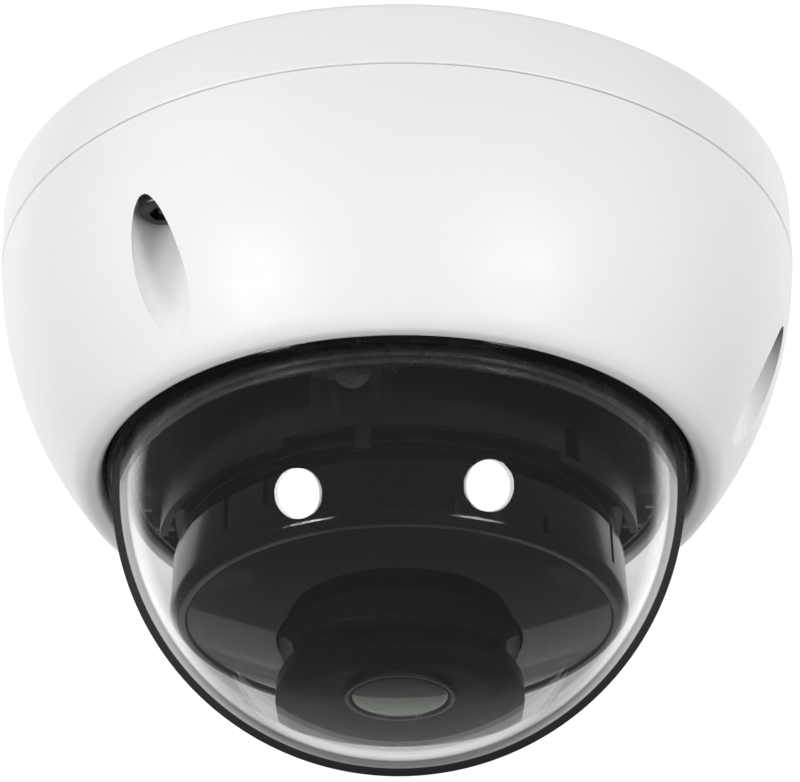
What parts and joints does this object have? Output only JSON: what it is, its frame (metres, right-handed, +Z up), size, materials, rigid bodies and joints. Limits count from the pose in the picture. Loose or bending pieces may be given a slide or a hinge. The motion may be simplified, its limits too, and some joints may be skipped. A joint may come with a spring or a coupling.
{
  "type": "dome cctv camera",
  "caption": "Ceiling dome security camera: clear bubble over a lens module that pans, tilts and rotates, under a white cover with recessed screws.",
  "frame": {"origin": "centre of the flat face that meets the ceiling", "axes": "+Z up into the ceiling, along the axis of the base, cover and bubble; the camera hangs into -Z; -Y is the front"},
  "size_m": [0.122, 0.122, 0.0889],
  "materials": {
    "white_cast": "white powder coat, satin",
    "rubber": "matt",
    "steel": "satin",
    "clear_bubble": "clear, polished",
    "dark_metal": "black coated zinc or steel, satin",
    "black_plastic": "satin",
    "circuit_board": "solder mask",
    "chip": "matt",
    "heat_pad": "matt",
    "ivory_plastic": "satin",
    "dark_window": "polished, infrared passing",
    "led": "clear",
    "lens_glass": "coated"
  },
  "bodies": {
    "base": {"base_housing": "white_cast", "base_seal": "rubber", "cable_grommet": "rubber", "cover_shell": "white_cast", "cover_screw_front_left": "steel", "cover_screw_right": "steel", "cover_screw_rear": "steel", "bubble_gasket": "rubber", "dome_bubble": "clear_bubble", "bubble_clamp_ring": "dark_metal", "inner_liner": "black_plastic", "clamp_screw_1": "steel", "clamp_screw_2": "steel", "clamp_screw_3": "steel", "main_board": "circuit_board", "board_screw_1": "steel", "board_screw_2": "steel", "board_screw_3": "steel", "processor_chip": "chip", "heat_pad": "heat_pad", "memory_chip": "chip", "card_slot": "steel", "network_connector": "ivory_plastic", "reset_switch_body": "chip", "chassis_plate": "dark_metal", "chassis_screw_1": "steel", "chassis_screw_2": "steel", "chassis_screw_3": "steel", "pan_hub_screw": "steel", "pan_washer": "dark_metal"},
    "pan": {"pan_yoke": "dark_metal", "yoke_shroud": "black_plastic", "pan_lock_screw": "dark_metal"},
    "tilt": {"tilt_ring": "black_plastic", "pivot_screw_left": "steel", "pivot_screw_right": "steel"},
    "module": {"module_bezel": "black_plastic", "module_rear_cup": "dark_metal", "front_window": "dark_window", "ir_board": "circuit_board", "ir_led_1": "led", "ir_led_2": "led", "ir_led_3": "led", "ir_led_4": "led", "light_sensor": "led", "lens_collar": "black_plastic", "lens_block": "black_plastic", "lens_holder": "black_plastic", "sensor_board": "circuit_board", "image_sensor": "chip", "lens_barrel": "dark_metal", "lens_ring": "black_plastic", "lens_front_glass": "lens_glass"},
    "reset": {"reset_button": "ivory_plastic"}
  },
  "joints": [
    {"name": "pan_turn", "type": "hinge", "parent": "base", "child": "pan", "pos_m": [0, 0, 0], "axis": [0, 0, 1], "range_deg": [-177.5, 177.5]},
    {"name": "tilt_turn", "type": "hinge", "parent": "pan", "child": "tilt", "pos_m": [0, 0, -0.0459], "axis": [1, 0, 0], "range_deg": [0, 65]},
    {"name": "lens_rotate", "type": "hinge", "parent": "tilt", "child": "module", "pos_m": [0, 0, -0.0459], "axis": [0, 0, -1], "range_deg": [-177.5, 177.5]},
    {"name": "reset_press", "type": "slide", "parent": "base", "child": "reset", "axis": [0, 0, 1], "range_m": [0, 0.0005], "stiffness_N_per_m": 400}
  ]
}
